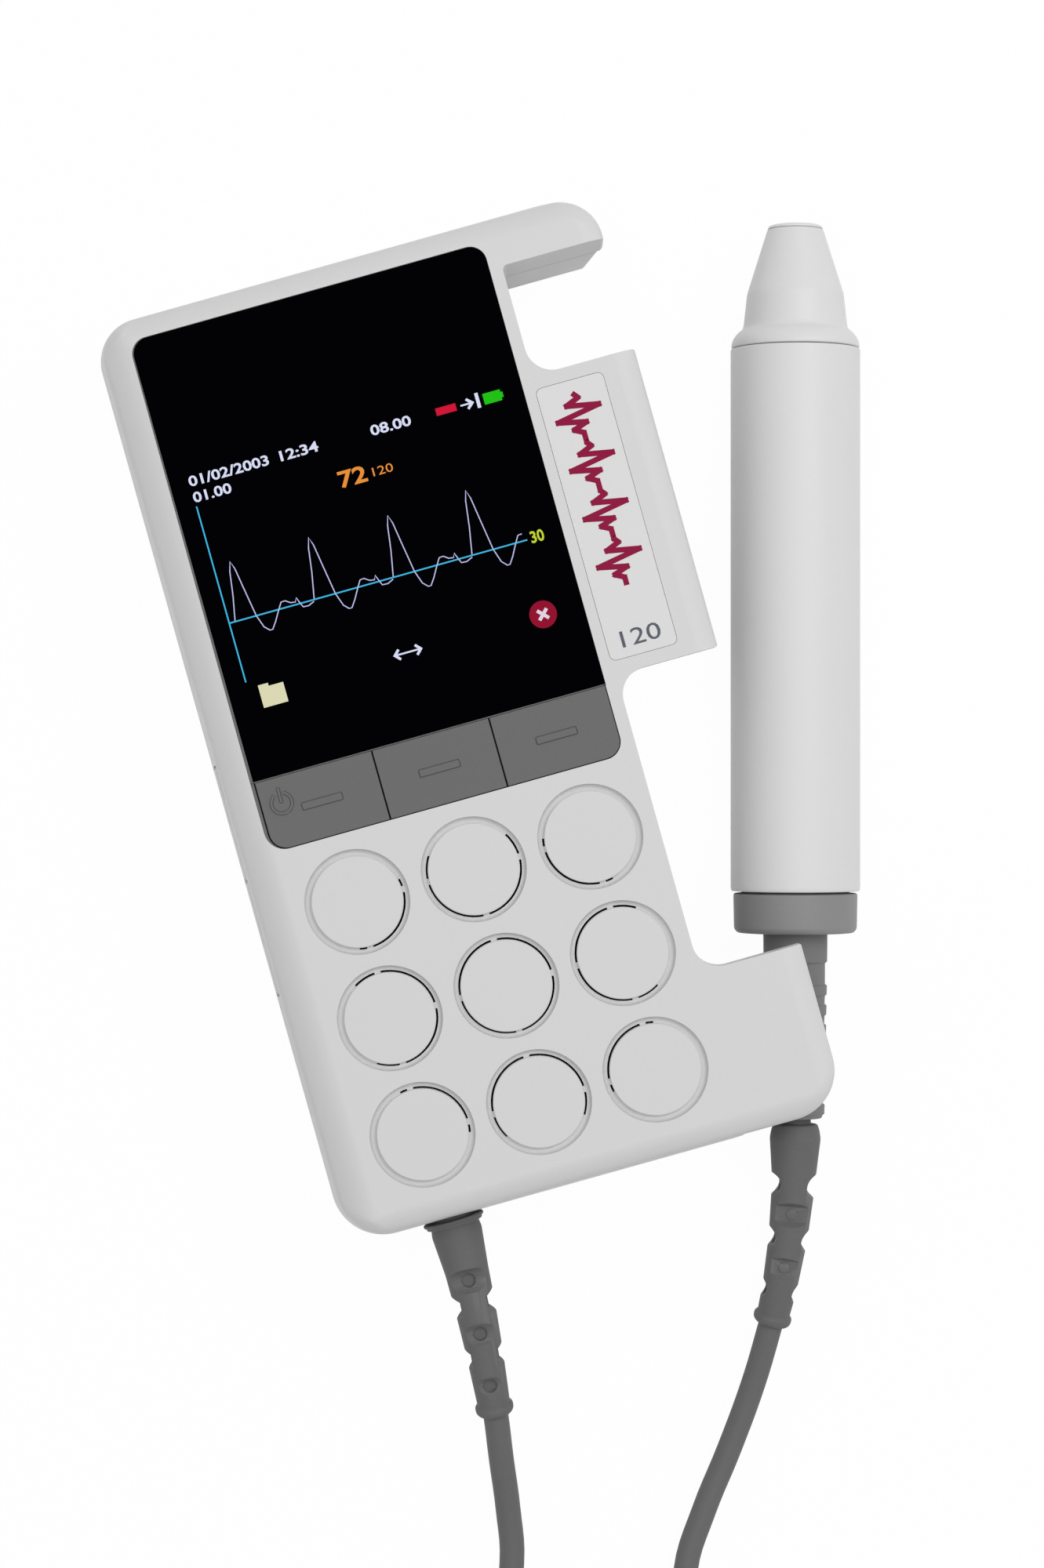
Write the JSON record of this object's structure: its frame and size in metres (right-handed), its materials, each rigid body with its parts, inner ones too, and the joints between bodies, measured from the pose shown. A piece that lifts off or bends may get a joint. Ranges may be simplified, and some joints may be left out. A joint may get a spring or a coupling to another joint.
{
  "type": "handheld doppler",
  "caption": "Pocket vascular doppler: unit with display, soft keys, loudspeaker grille and probe holder, a pencil probe and the lead that joins them.",
  "frame": {"origin": "middle of the unit's outline, on its flat back, which lies on the table", "axes": "+Z out of the display, +Y to the probe hook, +X to the probe holder"},
  "size_m": [0.1427, 0.2736, 0.0272],
  "materials": {
    "shell": "fine satin texture",
    "probe_white": "satin",
    "key_gray": "matt silicone",
    "cable_gray": "matt",
    "end_ring": "satin",
    "lens_black": "polished",
    "gasket": "matt",
    "label": "satin film",
    "board": "solder mask",
    "dark_plastic": "matt",
    "steel": "plated",
    "cell": "printed sleeve",
    "ceramic": "ceramic",
    "acoustic": "smooth"
  },
  "bodies": {
    "unit": {"front_shell": "shell", "rear_shell": "shell", "unit_cable_boot": "cable_gray", "probe_cable_boot": "cable_gray", "plug_grip": "cable_gray", "cable_from_unit": "cable_gray", "cable_coil": "cable_gray", "cable_to_probe": "cable_gray", "display_lens": "lens_black", "lens_gasket": "gasket", "tab_label": "label", "main_board": "board", "display_panel": "dark_plastic", "key_switch_left": "dark_plastic", "key_switch_middle": "dark_plastic", "key_switch_right": "dark_plastic", "volume_up_switch": "dark_plastic", "volume_down_switch": "dark_plastic", "speaker_basket": "dark_plastic", "speaker_cone": "dark_plastic", "plug_insert": "dark_plastic", "cable_tie": "dark_plastic", "display_tray": "steel", "speaker_magnet": "steel", "contact_spring_1": "steel", "contact_spring_2": "steel", "spring_plate_1": "steel", "spring_plate_2": "steel", "contact_plate_1": "steel", "contact_plate_2": "steel", "case_screw_1": "steel", "case_screw_2": "steel", "case_screw_3": "steel", "case_screw_4": "steel", "battery_1": "cell", "battery_2": "cell"},
    "probe": {"probe_barrel": "probe_white", "probe_head": "probe_white", "probe_face": "acoustic", "send_crystal": "ceramic", "listen_crystal": "ceramic", "damping_block": "dark_plastic", "probe_board": "board", "probe_seal": "gasket", "probe_end_ring": "end_ring", "probe_socket": "dark_plastic"},
    "soft_key_left": {"soft_key_left": "key_gray"},
    "soft_key_middle": {"soft_key_middle": "key_gray"},
    "soft_key_right": {"soft_key_right": "key_gray"},
    "volume_up_key": {"volume_up_key": "shell"},
    "volume_down_key": {"volume_down_key": "shell"},
    "battery_door": {"battery_door": "shell"}
  },
  "joints": [
    {"name": "soft_key_left_press", "type": "slide", "parent": "unit", "child": "soft_key_left", "axis": [0, 0, -1], "range_m": [0, 0.0008], "stiffness_N_per_m": 700},
    {"name": "soft_key_middle_press", "type": "slide", "parent": "unit", "child": "soft_key_middle", "axis": [0, 0, -1], "range_m": [0, 0.0008], "stiffness_N_per_m": 700},
    {"name": "soft_key_right_press", "type": "slide", "parent": "unit", "child": "soft_key_right", "axis": [0, 0, -1], "range_m": [0, 0.0008], "stiffness_N_per_m": 700},
    {"name": "volume_up_press", "type": "slide", "parent": "unit", "child": "volume_up_key", "axis": [1, 0, 0], "range_m": [0, 0.0007], "stiffness_N_per_m": 700},
    {"name": "volume_down_press", "type": "slide", "parent": "unit", "child": "volume_down_key", "axis": [1, 0, 0], "range_m": [0, 0.0007], "stiffness_N_per_m": 700},
    {"name": "battery_door_slide", "type": "slide", "parent": "unit", "child": "battery_door", "axis": [0, -1, 0], "range_m": [0, 0.012]},
    {"name": "probe_pull", "type": "slide", "parent": "unit", "child": "probe", "axis": [0.2698, 0.9629, 0], "range_m": [0, 0.012]}
  ]
}
